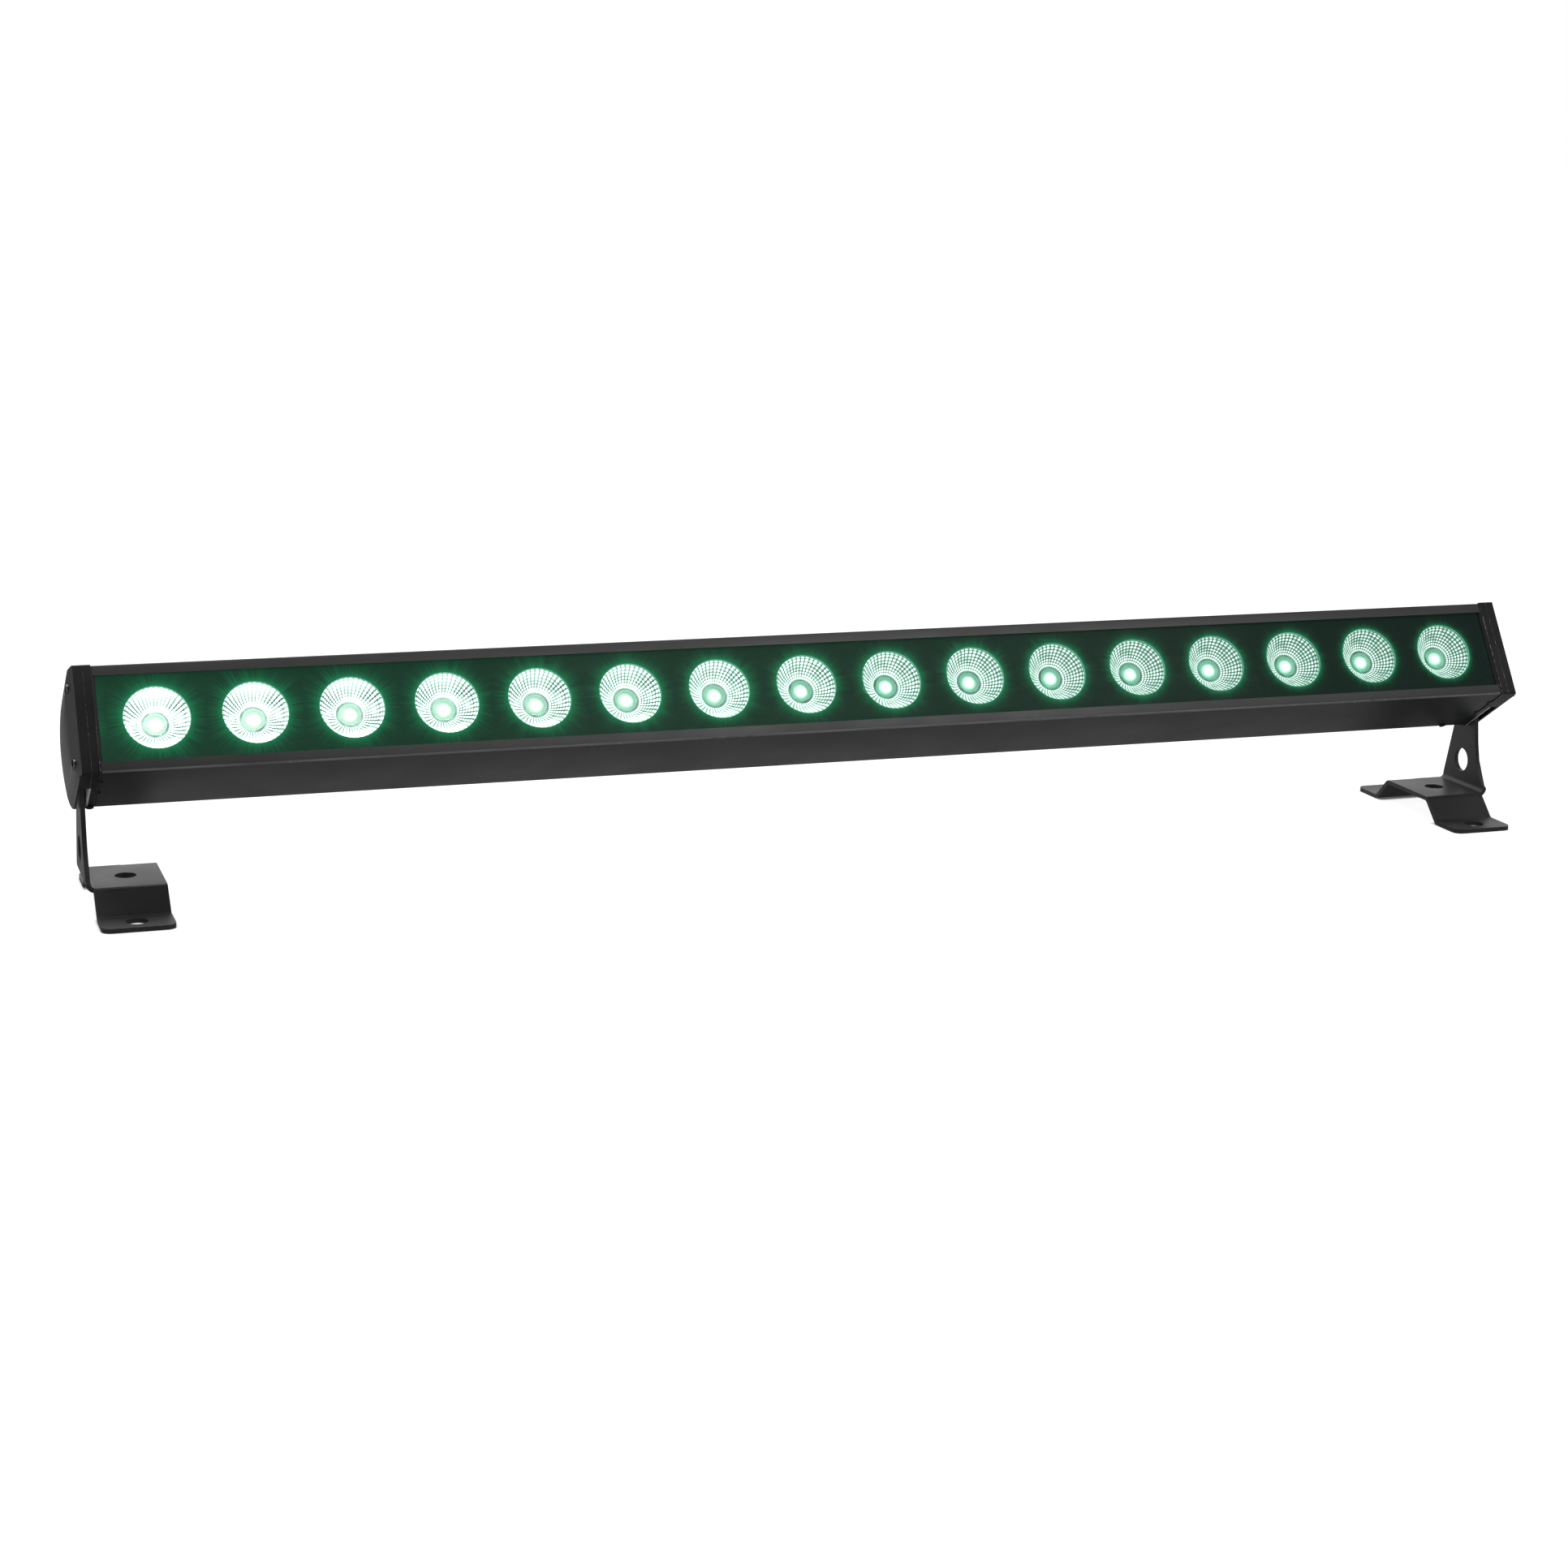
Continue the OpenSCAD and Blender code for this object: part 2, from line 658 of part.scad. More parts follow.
housing_extrusion();
front_window();
window_seal();
mask_plate();
for (i = [1 : cells]) reflector(i);
lens_domes();
led_emitters();
for (k = [1 : boards]) led_board(k);
heat_spreader();
power_supply();
driver_board();
control_board();
wiring_harness();
rear_panel();
panel_screws();
display_window();
breather_vent();
color([0.15, 0.25, 0.6]) socket(power_x[0], 9, 3, 5);  // power_in_socket
color([0.6, 0.6, 0.6]) socket(power_x[1], 9, 3, 5);  // power_out_socket
color(bare_steel) socket(data_x[0], 8, 3, 4);  // data_in_socket
color(bare_steel) socket(data_x[1], 8, 3, 4);  // data_out_socket
for (k = [1 : 4]) menu_button(k);
end_screws();
edge_screws();
pivot_bolts();
pivot_nuts();
friction_washers();
for (s = side_names) end_seal(s);
for (s = side_names) end_flange(s);
for (s = side_names) end_cover(s);
for (s = side_names) slot_liner(s);
for (s = side_names) bracket(s);
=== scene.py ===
import json
import math

import bmesh
import bpy
from mathutils import Matrix, Vector


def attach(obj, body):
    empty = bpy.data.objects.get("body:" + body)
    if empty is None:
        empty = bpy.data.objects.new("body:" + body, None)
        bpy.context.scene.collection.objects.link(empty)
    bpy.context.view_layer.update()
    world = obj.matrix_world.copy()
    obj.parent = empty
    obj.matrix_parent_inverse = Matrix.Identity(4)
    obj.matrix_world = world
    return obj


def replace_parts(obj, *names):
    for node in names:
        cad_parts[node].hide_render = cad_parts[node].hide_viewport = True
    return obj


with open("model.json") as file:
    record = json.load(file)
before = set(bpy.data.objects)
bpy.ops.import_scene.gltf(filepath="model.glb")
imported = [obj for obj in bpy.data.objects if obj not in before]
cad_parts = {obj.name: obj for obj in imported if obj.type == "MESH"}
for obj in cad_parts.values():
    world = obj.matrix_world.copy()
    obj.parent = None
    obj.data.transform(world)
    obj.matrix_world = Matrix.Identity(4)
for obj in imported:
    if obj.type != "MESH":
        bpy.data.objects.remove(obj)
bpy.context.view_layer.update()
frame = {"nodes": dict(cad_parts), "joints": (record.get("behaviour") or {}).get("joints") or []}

MM = 0.001
NODES = frame["nodes"]

# ---------- places ----------

TILT_JOINT = next(j for j in frame["joints"] if j["name"] == "tilt_right")
PIVOT_HEIGHT = TILT_JOINT["pos_m"][2]
TILT = -math.radians(TILT_JOINT["range_deg"][0])  # the window faces level at the low limit
PIVOT_DEPTH = 38 * MM

# Housing frame: x along the batten, y back from the front face, z up along it from mid height
HOUSING = (
    Matrix.Translation((0, 0, PIVOT_HEIGHT))
    @ Matrix.Rotation(-TILT, 4, "X")
    @ Matrix.Translation((0, -PIVOT_DEPTH, 0))
)


def local_box(name):
    """Lowest and highest corner of a CAD node in the housing frame."""
    inverse = HOUSING.inverted()
    points = [inverse @ v.co for v in NODES[name].data.vertices]
    low = Vector([min(p[i] for p in points) for i in range(3)])
    high = Vector([max(p[i] for p in points) for i in range(3)])
    return low, high


def cell_centre(name):
    """The x of a cell's axis in the housing frame."""
    low, high = local_box(name)
    return (low.x + high.x) / 2


CELLS = [n for n in sorted(NODES) if n.startswith("reflector_")]
PITCH = (cell_centre(CELLS[-1]) - cell_centre(CELLS[0])) / (len(CELLS) - 1)
ROW_HALF = len(CELLS) * PITCH / 2


# ---------- objects ----------

WELD = 2e-6
FLAT_ANGLE = math.radians(0.3)
EDGE_ANGLE = math.radians(35)


def add_object(name, mesh, body, matrix=HOUSING):
    """A new visible piece that rides on a body."""
    obj = bpy.data.objects.new(name, mesh)
    bpy.context.scene.collection.objects.link(obj)
    obj.matrix_world = matrix
    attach(obj, body)
    return obj


def machined(node, body, paints, width, segments=2, matrix=HOUSING):
    """A copy of a CAD node with its edges rounded. The last paint goes on the rounded edges."""
    mesh = NODES[node].data.copy()
    bm = bmesh.new()
    bm.from_mesh(mesh)
    bmesh.ops.transform(bm, matrix=matrix.inverted(), verts=bm.verts)
    bmesh.ops.remove_doubles(bm, verts=bm.verts, dist=WELD)
    bmesh.ops.dissolve_limit(bm, angle_limit=FLAT_ANGLE, verts=bm.verts, edges=bm.edges)
    for face in bm.faces:
        face.smooth = True
        face.material_index = 0
    for edge in bm.edges:
        edge.smooth = len(edge.link_faces) == 2 and edge.calc_face_angle(0) < EDGE_ANGLE
    bm.to_mesh(mesh)
    bm.free()
    mesh.materials.clear()
    for paint in paints:
        mesh.materials.append(paint)
    obj = add_object(node + "_piece", mesh, body, matrix)
    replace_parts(obj, node)
    bevel = obj.modifiers.new("edges", "BEVEL")
    bevel.width = width
    bevel.segments = segments
    bevel.limit_method = "ANGLE"
    bevel.angle_limit = EDGE_ANGLE
    bevel.use_clamp_overlap = True
    bevel.harden_normals = True
    bevel.material = len(paints) - 1
    return obj


# ---------- materials ----------
# Noise scales are per metre. Colours are linear.

GRAIN_HEIGHT = 0.04 * MM
COAT_HEIGHT = 0.06 * MM
BARE_METAL = (0.42, 0.42, 0.43)
WHITE = (1, 1, 1)


class Paint:
    """A procedural material. add() makes a node; values are set or linked by socket name."""

    def __init__(self, name, **values):
        self.material = bpy.data.materials.new(name)
        self.material.use_nodes = True
        self.tree = self.material.node_tree
        self.shader = self.tree.nodes["Principled BSDF"]
        for key, value in values.items():
            self.put(self.shader, key.replace("_", " "), value)
        self.places = self.tree.nodes.new("ShaderNodeTexCoord").outputs["Object"]

    def put(self, node, key, value):
        socket = node.inputs[key]
        if isinstance(value, bpy.types.NodeSocket):
            self.tree.links.new(value, socket)
        elif socket.type == "RGBA" and len(value) == 3:
            socket.default_value = (*value, 1)
        else:
            socket.default_value = value

    def add(self, kind, out=0, inputs=(), **props):
        node = self.tree.nodes.new("ShaderNode" + kind)
        for key, value in props.items():
            setattr(node, key, value)
        for key, value in dict(inputs).items():
            self.put(node, key, value)
        return node.outputs[out]

    def math(self, operation, a, b=0.0, clamp=False):
        return self.add("Math", inputs={0: a, 1: b}, operation=operation, use_clamp=clamp)

    def length(self, a, b):
        """Square root of a squared plus b squared."""
        squares = self.math("ADD", self.math("MULTIPLY", a, a), self.math("MULTIPLY", b, b))
        return self.math("SQRT", squares)

    def split(self, vector):
        node = self.tree.nodes.new("ShaderNodeSeparateXYZ")
        self.put(node, "Vector", vector)
        return node.outputs

    def stretched(self, scale):
        return self.add("Mapping", inputs={"Vector": self.places, "Scale": scale})

    def noise(self, scale, detail=2.0, where=None, rough=0.5):
        where = where or self.places
        inputs = {"Vector": where, "Scale": scale, "Detail": detail, "Roughness": rough}
        return self.add("TexNoise", inputs=inputs)

    def between(self, value, low, high, start=0.0, end=1.0):
        """value, mapped from low..high onto start..end and held there outside it."""
        inputs = {"Value": value, "From Min": low, "From Max": high, "To Min": start, "To Max": end}
        return self.add("MapRange", inputs=inputs)

    def vary(self, scale, start, end, where=None):
        """Noise that swings over the whole of start..end."""
        return self.between(self.noise(scale, where=where), 0.3, 0.7, start, end)

    def mix(self, factor, a, b):
        return self.add("Mix", out=2, inputs={0: factor, 6: a, 7: b}, data_type="RGBA")

    def bump(self, height, strength, distance):
        inputs = {"Strength": strength, "Distance": distance, "Height": height}
        self.put(self.shader, "Normal", self.add("Bump", inputs=inputs))

    def colour(self, value):
        self.put(self.shader, "Base Color", value)

    def rough(self, value):
        self.put(self.shader, "Roughness", value)

    def glow(self, colour, strength=1.0):
        self.put(self.shader, "Emission Color", colour)
        self.put(self.shader, "Emission Strength", strength)


def powder_coat(name, dark, light, rough=0.42, depth=0.35, worn=0.0, gloss=0.5):
    """Fine matt powder coat. worn shows bare metal in specks, for edges."""
    p = Paint(name, Specular_IOR_Level=gloss)
    cloud = p.noise(22, 3)
    specks = p.noise(2600)
    palest = [min(1, 1.8 * c) for c in light]
    colour = p.mix(p.between(cloud, 0.35, 0.65), dark, light)
    colour = p.mix(p.between(specks, 0.55, 0.8, 0, 0.35), colour, palest)
    if worn:
        chips = p.between(p.noise(420, 4, rough=0.7), 0.66 - worn, 0.70 - worn)
        colour = p.mix(chips, colour, BARE_METAL)
        p.put(p.shader, "Metallic", p.math("MULTIPLY", chips, 0.8))
    p.colour(colour)
    p.rough(p.between(cloud, 0.3, 0.7, rough - 0.05, rough + 0.06))
    p.bump(specks, depth, COAT_HEIGHT)
    return p.material


def plain(name, colour, rough, depth=0.2, spread=0.25):
    """Moulded or plain material with a fine grain and a little colour variation."""
    p = Paint(name)
    lighter = [min(1, c * (1 + spread)) for c in colour]
    darker = [c * (1 - spread) for c in colour]
    p.colour(p.mix(p.between(p.noise(60, 3), 0.3, 0.7), darker, lighter))
    p.rough(p.vary(450, rough * 0.85, rough * 1.15))
    p.bump(p.noise(1800), depth, GRAIN_HEIGHT)
    return p.material


def brushed(name, colour, rough=0.3):
    """Brushed or turned metal with lines along x."""
    p = Paint(name, Metallic=1.0)
    lines = p.noise(1.0, 4, where=p.stretched((6, 500, 500)), rough=0.6)
    p.colour(p.mix(p.between(lines, 0.3, 0.7), [0.8 * c for c in colour], colour))
    p.rough(p.between(lines, 0.3, 0.7, rough * 0.8, rough * 1.25))
    p.bump(lines, 0.15, GRAIN_HEIGHT)
    return p.material


PAINTS = {
    "housing": powder_coat("housing_coat", (0.022, 0.023, 0.024), (0.028, 0.029, 0.03)),
    # The edge paints are lighter than their coats: a painted highlight on the rounded edges, with
    # worn specks of bare metal.
    "housing_edge_painted_highlight_and_wear": powder_coat(
        "housing_edge_painted_highlight_and_wear", (0.13, 0.13, 0.13), (0.21, 0.21, 0.21), 0.3, worn=0.03),
    "cover": powder_coat(
        "cover_coat", (0.008, 0.008, 0.0085), (0.014, 0.014, 0.0145), 0.36, gloss=0.3, depth=0.6),
    "cover_edge_painted_highlight_and_wear": powder_coat(
        "cover_edge_painted_highlight_and_wear", (0.02, 0.02, 0.021), (0.075, 0.075, 0.076), 0.24, worn=0.16),
    "bracket": powder_coat("bracket_coat", (0.026, 0.027, 0.028), (0.034, 0.035, 0.036), 0.4),
    "bracket_edge_painted_highlight_and_wear": powder_coat(
        "bracket_edge_painted_highlight_and_wear", (0.045, 0.046, 0.047), (0.08, 0.08, 0.081), 0.3, worn=0.09),
    "panel": powder_coat("panel_coat", (0.012, 0.012, 0.013), (0.018, 0.018, 0.019), 0.5),
    "rubber": plain("black_rubber", (0.012, 0.012, 0.012), 0.7),
    "steel": brushed("plated_steel", (0.5, 0.5, 0.52), 0.32),
    "black_steel": brushed("blacked_steel", (0.06, 0.06, 0.065), 0.35),
    "dull_steel": brushed("dull_steel", (0.2, 0.2, 0.21), 0.28),
    "aluminium": brushed("mill_aluminium", (0.72, 0.73, 0.74), 0.35),
    "nylon": plain("pale_nylon", (0.72, 0.72, 0.7), 0.5, spread=0.08),
    "board": plain("green_board", (0.02, 0.14, 0.06), 0.45),
    "white_board": plain("white_board", (0.78, 0.79, 0.77), 0.4, spread=0.05),
    "wire": plain("red_wire", (0.35, 0.02, 0.02), 0.45),
    "blue": plain("blue_plastic", (0.02, 0.07, 0.35), 0.3, spread=0.1),
    "grey": plain("grey_plastic", (0.35, 0.36, 0.37), 0.35, spread=0.1),
    "button": plain("button_plastic", (0.22, 0.22, 0.23), 0.5, spread=0.1),
    "display": plain("display_face", (0.008, 0.012, 0.016), 0.12, depth=0.05),
    "vent": plain("vent_plastic", (0.02, 0.02, 0.02), 0.5),
}


def window_glass():
    """Thin dark tint with a little dust in its gloss."""
    p = Paint("window_glass", Base_Color=(0.003, 0.014, 0.009), IOR=1.4, Alpha=0.12,
              Specular_IOR_Level=0.12)
    p.rough(p.between(p.noise(900, 3, rough=0.7), 0.4, 0.75, 0.04, 0.16))
    return p.material


# ---------- materials of the cells ----------
# The batten is lit. Apart from the emitters, the light in the cells is painted glow on the cups,
# lenses, rings, apertures and mask; most of it falls along the row, from the first cell to the
# last.

RINGS = 7
SECTORS = 40
MOUTH_R = 19.25 * MM
THROAT_R = 8.6 * MM
APERTURE_R = 20.25 * MM
# Glow colours: EMITTER_GLOW is the emitters' own light; the rest are painted light on the aperture
# rims and walls, the mask halo and the reflector facets and their gaps.
RIM_GLOW = (0.27, 1.0, 0.7)
EMITTER_GLOW = (0.4, 1.0, 0.78)
HALO_GLOW = (0.013, 0.255, 0.1)
FACET_STRONG = (2.9, 4.2, 3.6)
FACET_WEAK = (1.5, 2.0, 1.75)
GAP_STRONG = (0.12, 0.22, 0.18)
GAP_WEAK = (0.05, 0.2, 0.14)


def mirror_coat():
    """Aluminised facets with a painted reflection: each one carries a painted image of the emitter
    as glow, brightest at its middle.

    The strength of a cup's painted glow, an attribute on its points, is 1 in the first cell and 0
    in the last. A high strength fills the facets along the cup with painted light and leaves gaps
    only between the sectors.
    """
    p = Paint("reflector_mirror", Metallic=1.0)
    x, _, z = p.split(p.places)
    radius = p.length(x, z)
    around = p.math("MULTIPLY", p.math("ARCTAN2", z, x), SECTORS / (2 * math.pi))
    inward = p.math("SUBTRACT", MOUTH_R, radius)
    along = p.math("MULTIPLY", inward, RINGS / (MOUTH_R - THROAT_R))
    painted_glow_gain = p.add("Attribute", out=2, attribute_name="painted_glow_gain")
    humps = []
    for place in (around, along):
        part = p.math("FRACT", place)
        rest = p.math("SUBTRACT", 1.0, part)
        humps.append(p.math("MULTIPLY", p.math("MULTIPLY", part, 4.0), rest))
    filled = p.math("POWER", humps[1], p.between(painted_glow_gain, 0.0, 1.0, 1.0, 0.22))
    spot = p.math("MULTIPLY", humps[0], filled)
    cut = p.between(painted_glow_gain, 0.0, 0.4, 0.2, 0.36)
    steep = p.between(painted_glow_gain, 0.0, 0.5, 1.5, 2.1)
    image = p.math("MULTIPLY", p.math("SUBTRACT", spot, cut), steep, clamp=True)
    at_throat = p.between(radius, THROAT_R, THROAT_R + 5 * MM, 0.7, 0.0)
    uneven = p.math("ADD", p.vary(230, 0.42, 1.05), at_throat)
    blaze = p.math("MULTIPLY", p.between(p.noise(75), 0.5, 0.68, 0.0, 0.5), painted_glow_gain)
    height = p.math("ABSOLUTE", z)
    outer = p.math("MULTIPLY", p.between(height, 10 * MM, 17 * MM, 0.0, 0.35), painted_glow_gain)
    flare = p.math("ADD", blaze, outer)
    image = p.math("ADD", p.math("MULTIPLY", image, uneven), flare, clamp=True)
    gap = p.mix(p.between(painted_glow_gain, 0.0, 0.7), GAP_WEAK, GAP_STRONG)
    facet = p.mix(p.between(painted_glow_gain, 0.0, 0.3), FACET_WEAK, FACET_STRONG)
    # Painted reflection: the emitter's image as glow on the facets, and a lighter base colour under
    # it.
    p.glow(p.mix(image, gap, facet))
    p.colour(p.mix(image, (0.01, 0.02, 0.018), (0.08, 0.09, 0.085)))
    p.rough(p.vary(300, 0.3, 0.36))
    return p.material


def cell_offset(p):
    """x and z in the housing frame, x from the nearest cell's axis, and the cell's number."""
    x, _, z = p.split(p.places)
    turns = p.math("DIVIDE", x, PITCH)
    dx = p.math("MULTIPLY", p.math("SUBTRACT", p.math("FRACT", turns), 0.5), PITCH)
    return x, z, dx, p.math("FLOOR", turns)


def emitter_glow():
    """Yellow phosphor, hottest at the middle of each emitter."""
    p = Paint("emitter_glow", Roughness=0.4)
    _, z, dx, _ = cell_offset(p)
    radius = p.length(dx, z)
    grid = p.add("TexVoronoi", inputs={"Vector": p.places, "Scale": 900})
    p.colour(p.mix(p.between(grid, 0.0, 0.6), (0.95, 0.9, 0.6), (0.8, 0.7, 0.3)))
    p.glow(EMITTER_GLOW, p.between(radius, 2.4 * MM, 4.4 * MM, 3.5, 0.3))
    return p.material


def lens_glass():
    """Clear lens with a little painted glow of its own, brighter and paler at the first cells."""
    p = Paint("lens_glass", Base_Color=(0.9, 1.0, 0.96), IOR=1.49, Transmission_Weight=0.9)
    x = p.split(p.places)["X"]
    p.glow(p.mix(p.between(x, -ROW_HALF, 0.0), (0.21, 0.28, 0.25), (0.03, 0.1, 0.072)))
    p.rough(p.vary(500, 0.015, 0.05))
    return p.material


def lens_ring_paint():
    """The ring that holds a lens, with an uneven painted glow, brighter and paler at the first
    cells.
    """
    p = Paint("lens_ring", Base_Color=(0.06, 0.07, 0.065), Roughness=0.3)
    x = p.split(p.places)["X"]
    shade = p.mix(p.between(x, -ROW_HALF, 0.0), (0.4, 0.6, 0.52), (0.07, 0.24, 0.17))
    p.glow(shade, p.between(p.noise(130), 0.35, 0.65, 0.55, 2.0))
    return p.material


def mask_coat():
    """Matt black plate with painted glow: a halo of fine rays round each aperture that stands for
    light scattered in the window and reaches further at the first cells, over a faint haze that is
    greener there.
    """
    p = Paint("mask_coat", Base_Color=(0.004, 0.007, 0.006), Roughness=0.6, Specular_IOR_Level=0.15)
    x, z, dx, number = cell_offset(p)
    radius = p.length(dx, z)
    apart = p.math("MULTIPLY", number, 3.7)
    direction = {0: p.math("DIVIDE", dx, radius), 1: p.math("DIVIDE", z, radius), 2: apart}
    ray = p.add("CombineXYZ", inputs=direction)
    fine = p.between(p.noise(26, where=ray), 0.35, 0.68, 0.3, 1.25)
    coarse = p.vary(5, 0.75, 1.2, where=ray)
    reach = p.between(x, -ROW_HALF, ROW_HALF, 4.4 * MM, 1.5 * MM)
    reach = p.math("MULTIPLY", reach, coarse)
    away = p.math("MAXIMUM", p.math("SUBTRACT", radius, APERTURE_R), 0.0)
    fall = p.math("EXPONENT", p.math("MULTIPLY", p.math("DIVIDE", away, reach), -1.0))
    rim = p.between(away, 0.0, 5 * MM, 1.0, 0.0)
    streak = p.math("ADD", rim, p.math("MULTIPLY", p.math("SUBTRACT", 1.0, rim), fine))
    near = p.math("MULTIPLY", fall, streak, clamp=True)
    # Painted haze: a faint glow over the whole plate, greener at the first cells.
    painted_haze = p.between(x, -ROW_HALF, ROW_HALF)
    painted_haze = p.mix(painted_haze, (0.009, 0.046, 0.024), (0.005, 0.0125, 0.0095))
    p.glow(p.mix(near, painted_haze, HALO_GLOW))
    p.bump(p.noise(2200), 0.2, GRAIN_HEIGHT)
    return p.material


def aperture_paint(name, base, light):
    """The aperture's edge or wall: a lighter colour and painted glow that stand for light from
    inside the cell.
    """
    p = Paint(name, Base_Color=base, Roughness=0.4)
    p.glow(RIM_GLOW, p.vary(700, 0.7 * light, 1.3 * light))
    return p.material


# ---------- cells ----------

FACET_STEPS = 3
PILLOW = 0.14 * MM
CUP_WALL = 0.7 * MM
FLANGE = 0.6 * MM
PAINTED_GLOW_FALL = 2.6

LENS_STEPS = 56
DOME_STEPS = 12
DOME_BULGE = 0.92
DOME_GAP = 0.08 * MM
RING_WIDTH = 1.1 * MM
SEAT_DEPTH = 2.0 * MM
LENS_CLEARANCE = 0.05 * MM
LENS_EDGE_ANGLE = math.radians(40)


def circle(bm, radius, depth, steps, centre=0.0):
    """New points round an axis that runs along y."""
    turn = [2 * math.pi * k / steps for k in range(steps)]
    return [
        bm.verts.new((centre + radius * math.cos(a), depth, radius * math.sin(a))) for a in turn
    ]


def skin(bm, rings, material=0):
    """Joins each ring of points to the next, and the last to the first."""
    for a, b in zip(rings, rings[1:] + rings[:1]):
        for k in range(len(a)):
            n = (k + 1) % len(a)
            corners = list(dict.fromkeys((a[k], a[n], b[n], b[k])))
            if len(corners) > 2:
                face = bm.faces.new(corners)
                face.material_index = material
                face.smooth = True


def cup_mesh(low_y, high_y):
    """A parabolic cup of convex facets in rings, with a smooth outer wall."""
    depth = high_y - low_y
    spread = MOUTH_R**2 - THROAT_R**2
    focus = spread / (4 * depth)
    bm = bmesh.new()
    rows = RINGS * FACET_STEPS
    columns = SECTORS * FACET_STEPS
    inner = []
    for i in range(rows + 1):
        r0 = MOUTH_R + (THROAT_R - MOUTH_R) * (i / rows)
        y = high_y - (r0**2 - THROAT_R**2) / spread * depth
        u = (i % FACET_STEPS) / FACET_STEPS
        ring = []
        for k in range(columns):
            v = (k % FACET_STEPS) / FACET_STEPS
            rise = PILLOW * 16 * u * (1 - u) * v * (1 - v)
            a = 2 * math.pi * k / columns
            r = r0 - rise
            ring.append(bm.verts.new((r * math.cos(a), y - rise, r * math.sin(a))))
        inner.append(ring)
    outline = [(APERTURE_R + FLANGE, low_y), (APERTURE_R + FLANGE, low_y + CUP_WALL)]
    for t in (0.1, 1 / 3, 2 / 3, 1):
        y = low_y + depth * t
        outline.append((math.sqrt(THROAT_R**2 + 4 * focus * (high_y - y)) + CUP_WALL, y))
    outer = [circle(bm, r, y, columns) for r, y in outline]
    skin(bm, outer[::-1] + inner)
    facet_rows = {v for ring in inner[::FACET_STEPS] for v in ring}
    facet_columns = {v for ring in inner for v in ring[::FACET_STEPS]}
    for edge in bm.edges:
        ends = set(edge.verts)
        if ends <= facet_rows or ends <= facet_columns:
            edge.smooth = False
    mesh = bpy.data.meshes.new("cup")
    bmesh.ops.recalc_face_normals(bm, faces=bm.faces)
    bm.to_mesh(mesh)
    bm.free()
    return mesh


def lathe(bm, profile, centre, material):
    """Turns a closed (radius, depth) loop round a cell's axis. A radius of 0 makes a pole."""
    rings = []
    for radius, depth in profile:
        if radius == 0:
            rings.append([bm.verts.new((centre, depth, 0))] * LENS_STEPS)
        else:
            rings.append(circle(bm, radius, depth, LENS_STEPS, centre))
    skin(bm, rings, material)


def add_lenses():
    """A ring and a domed glass in each cell."""
    low, high = local_box("lens_domes")
    rim = high.z
    bore = rim - RING_WIDTH
    base = high.y - LENS_CLEARANCE
    seat = low.y + SEAT_DEPTH
    ring = [
        (bore, base),
        (bore, seat + 0.2 * MM),
        (bore + 0.25 * MM, seat - 0.15 * MM),
        (bore + 0.55 * MM, seat - 0.3 * MM),
        (rim - 0.25 * MM, seat - 0.2 * MM),
        (rim, seat + 0.2 * MM),
        (rim, base),
    ]
    dome_r = bore - DOME_GAP
    dome = [(0, low.y)]
    for k in range(1, DOME_STEPS + 1):
        t = k / DOME_STEPS
        sag = (seat - low.y) * (1 - math.sqrt(1 - DOME_BULGE * t * t))
        dome.append((dome_r * t, low.y + sag))
    dome += [(dome_r, base), (0, base)]
    bm = bmesh.new()
    for name in CELLS:
        lathe(bm, ring, cell_centre(name), 0)
        lathe(bm, dome, cell_centre(name), 1)
    bmesh.ops.recalc_face_normals(bm, faces=bm.faces)
    for edge in bm.edges:
        edge.smooth = edge.calc_face_angle(0) < LENS_EDGE_ANGLE
    mesh = bpy.data.meshes.new("lenses")
    bm.to_mesh(mesh)
    bm.free()
    mesh.materials.append(lens_ring_paint())
    mesh.materials.append(lens_glass())
    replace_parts(add_object("lenses", mesh, "housing"), "lens_domes")


def add_mask():
    """The emitters, and the mask plate with painted glow on the edges and walls of its apertures.
    """
    machined("led_emitters", "housing", [emitter_glow()], 0.1 * MM, segments=1)
    paints = [mask_coat(), aperture_paint("aperture_edge", (0.25, 0.4, 0.33), 0.42)]
    mask = machined("mask_plate", "housing", paints, 0.22 * MM, segments=1)
    mask.data.materials.append(aperture_paint("aperture_wall", (0.05, 0.07, 0.06), 0.3))
    for face in mask.data.polygons:
        if abs(face.normal.y) < 0.5 and abs(face.center.z) < APERTURE_R * 1.02:
            face.material_index = 2


def add_cells():
    """A cup in each cell, with the strength of the cell's painted glow on its points."""
    low, high = local_box(CELLS[0])
    mesh = cup_mesh(low.y, high.y)
    mesh.materials.append(mirror_coat())
    for number, name in enumerate(CELLS):
        place = HOUSING @ Matrix.Translation((cell_centre(name), 0, 0))
        cup_shape = mesh.copy()
        # Strength of the cup's painted glow: 1 in the first cell, falling to 0 in the last.
        painted_glow_gain = (1 - number / (len(CELLS) - 1)) ** PAINTED_GLOW_FALL
        values = cup_shape.attributes.new("painted_glow_gain", "FLOAT", "POINT").data
        values.foreach_set("value", [painted_glow_gain] * len(cup_shape.vertices))
        cup = add_object(name.replace("reflector", "cup"), cup_shape, "housing", place)
        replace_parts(cup, name)


# ---------- pieces made from CAD nodes ----------

LIP = 1.05 * MM

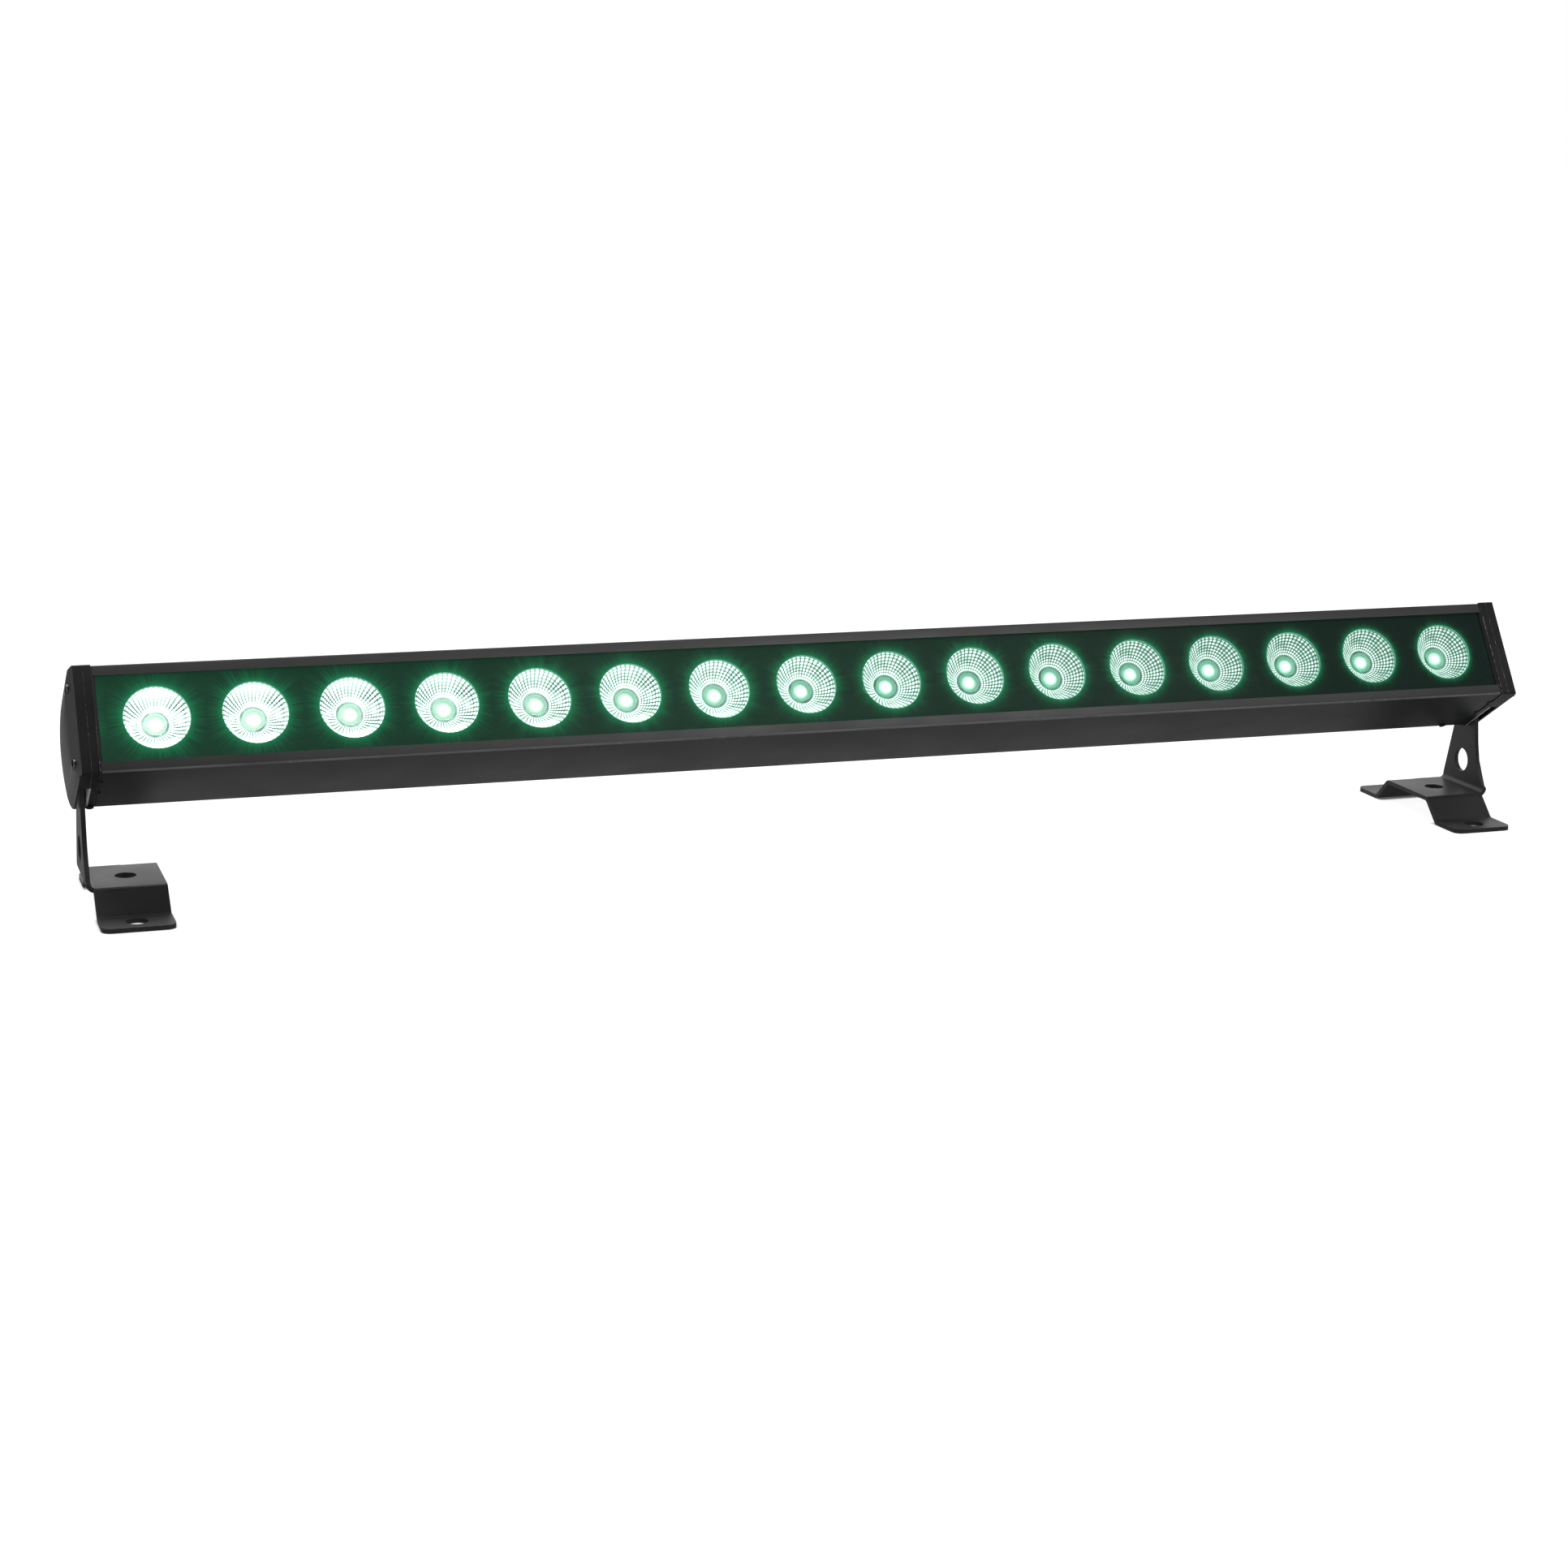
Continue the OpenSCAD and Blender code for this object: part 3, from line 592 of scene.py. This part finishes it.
# Node on the housing: its paint, and the width of its rounded edges in mm
SMALL_PIECES = {
    "rear_panel": ("panel", 0.3),
    "panel_screws": ("steel", 0.3),
    "edge_screws": ("black_steel", 0.2),
    "end_screws": ("dull_steel", 0.3),
    "pivot_bolts": ("steel", 0.3),
    "friction_washers": ("nylon", 0.15),
    "display_window": ("display", 0.3),
    "breather_vent": ("vent", 0.5),
    "power_in_socket": ("blue", 0.45),
    "power_out_socket": ("grey", 0.45),
    "data_in_socket": ("steel", 0.45),
    "data_out_socket": ("steel", 0.45),
}


def add_housing():
    """The housing, both ends and both feet, with lighter edge paint: a painted highlight and worn
    specks on the rounded edges and on the lip under its window.
    """
    coat = [PAINTS["housing"], PAINTS["housing_edge_painted_highlight_and_wear"]]
    housing = machined("housing_extrusion", "housing", coat, 0.35 * MM)
    low = min(v.co.z for v in housing.data.vertices)
    # The lowest faces at the front take the lighter edge paint too: a painted highlight line along
    # the lip.
    for face in housing.data.polygons:
        if face.center.y < LIP and face.center.z < low + LIP:
            face.material_index = 1
    # The ends' edge paint is lighter: a painted highlight on their rounded edges, with worn specks.
    cover = [PAINTS["cover"], PAINTS["cover_edge_painted_highlight_and_wear"]]
    # The feet's edge paint is lighter: a painted highlight on their rounded edges, with worn
    # specks.
    foot = [PAINTS["bracket"], PAINTS["bracket_edge_painted_highlight_and_wear"]]
    for side in ("left", "right"):
        bracket = "bracket_" + side
        machined("end_flange_" + side, "housing", cover, 0.4 * MM)
        machined("end_cover_" + side, "housing", cover, 0.45 * MM)
        machined(bracket, bracket, foot, 0.35 * MM, matrix=Matrix.Identity(4))
        machined("end_seal_" + side, "housing", [PAINTS["rubber"]], 0.15 * MM)
        machined("slot_liner_" + side, "housing", [PAINTS["nylon"]], 0.15 * MM)


def add_small_pieces():
    """Everything else that shows, and the four buttons on bodies of their own."""
    for node, (paint, width) in SMALL_PIECES.items():
        machined(node, "housing", [PAINTS[paint]], width * MM)
    for k in range(1, 5):
        name = "menu_button_%d" % k
        machined(name, name, [PAINTS["button"]], 0.6 * MM, segments=3)


def repaint():
    """Gives every CAD node that is still shown its material."""
    choice = {
        "front_window": window_glass(),
        "window_seal": PAINTS["rubber"],
        "heat_spreader": PAINTS["aluminium"],
        "power_supply": PAINTS["aluminium"],
        "driver_board": PAINTS["board"],
        "control_board": PAINTS["board"],
        "wiring_harness": PAINTS["wire"],
        "pivot_nuts": PAINTS["steel"],
    }
    for k in range(1, 5):
        choice["led_board_%d" % k] = PAINTS["white_board"]
    for name, paint in choice.items():
        NODES[name].data.materials.clear()
        NODES[name].data.materials.append(paint)


# ---------- stage ----------

FLOOR_REACH = 12.0
FLOOR_FELT = 0.12  # light the floor gives off, apart from what the camera sees
CONTACT = 6 * MM  # reach of the shade under the feet
SKY_RAMP = {"From Min": 0.1, "From Max": 0.9, "To Min": 0.1, "To Max": 1.0}


def seen_or_felt(tree, seen, felt):
    """One value where the camera sees a surface itself, another where it lights something."""
    path = tree.nodes.new("ShaderNodeLightPath")
    pick = tree.nodes.new("ShaderNodeMix")
    pick.data_type = "FLOAT"
    tree.links.new(path.outputs["Is Camera Ray"], pick.inputs[0])
    for socket, value in ((pick.inputs[2], felt), (pick.inputs[3], seen)):
        if isinstance(value, bpy.types.NodeSocket):
            tree.links.new(value, socket)
        else:
            socket.default_value = value
    return pick.outputs[0]


def add_floor():
    """Pale floor with a soft contact shade."""
    mesh = bpy.data.meshes.new("floor")
    r = FLOOR_REACH
    mesh.from_pydata([(-r, -r, 0), (r, -r, 0), (r, r, 0), (-r, r, 0)], [], [(0, 1, 2, 3)])
    p = Paint("floor_white", Base_Color=(0.3, 0.3, 0.3), Roughness=0.9, Specular_IOR_Level=0.0)
    open_above = p.add("AmbientOcclusion", out=1, inputs={"Distance": CONTACT}, samples=4)
    seen = p.between(open_above, 0.45, 0.7, 0.08, 0.94)
    p.glow(WHITE, seen_or_felt(p.tree, seen, FLOOR_FELT))
    mesh.materials.append(p.material)
    obj = bpy.data.objects.new("floor", mesh)
    bpy.context.scene.collection.objects.link(obj)


def add_light(name, place, aim, size, power):
    """A round soft light."""
    data = bpy.data.lights.new(name, "AREA")
    data.shape = "DISK"
    data.size = size
    data.energy = power
    obj = bpy.data.objects.new(name, data)
    obj.location = place
    obj.rotation_mode = "QUATERNION"
    obj.rotation_quaternion = (Vector(aim) - Vector(place)).to_track_quat("-Z", "Y")
    bpy.context.scene.collection.objects.link(obj)


def add_world():
    """White for the camera. As lighting it is bright at the back and dark elsewhere."""
    world = bpy.data.worlds.new("studio")
    bpy.context.scene.world = world
    world.use_nodes = True
    tree = world.node_tree
    background = tree.nodes["Background"]
    place = tree.nodes.new("ShaderNodeTexCoord")
    parts = tree.nodes.new("ShaderNodeSeparateXYZ")
    ramp = tree.nodes.new("ShaderNodeMapRange")
    for key, value in SKY_RAMP.items():
        ramp.inputs[key].default_value = value
    tree.links.new(place.outputs["Generated"], parts.inputs[0])
    tree.links.new(parts.outputs["Y"], ramp.inputs["Value"])
    tree.links.new(seen_or_felt(tree, 1.0, ramp.outputs[0]), background.inputs["Strength"])
    background.inputs["Color"].default_value = (*WHITE, 1)


CAMERA_PLACE = Vector((-0.6623, -1.7832, 0.5005))
CAMERA_RIGHT = Vector((0.94444, -0.32814, 0.01873))
CAMERA_UP = Vector((0.05893, 0.22513, 0.97255))
CAMERA_LENS = 66.5


def add_camera():
    """The photo's view of the object."""
    data = bpy.data.cameras.new("camera")
    data.lens = CAMERA_LENS
    data.sensor_width = 36
    data.clip_start = 0.05
    data.clip_end = 60
    obj = bpy.data.objects.new("camera", data)
    right = CAMERA_RIGHT.normalized()
    back = right.cross(CAMERA_UP).normalized()
    up = back.cross(right)
    turn = Matrix((right, up, back)).transposed().to_4x4()
    obj.matrix_world = Matrix.Translation(CAMERA_PLACE) @ turn
    bpy.context.scene.collection.objects.link(obj)
    bpy.context.scene.camera = obj


bpy.context.scene.view_settings.view_transform = "Standard"
add_camera()
add_world()
add_floor()
add_light("overhead", place=(-0.3, 0.5, 1.8), aim=(0, 0, 0), size=1.6, power=22)
add_light("front_top", place=(0.9, -1.5, 1.9), aim=(0.2, 0, 0.1), size=1.2, power=16)
add_housing()
add_small_pieces()
add_mask()
add_cells()
add_lenses()
repaint()
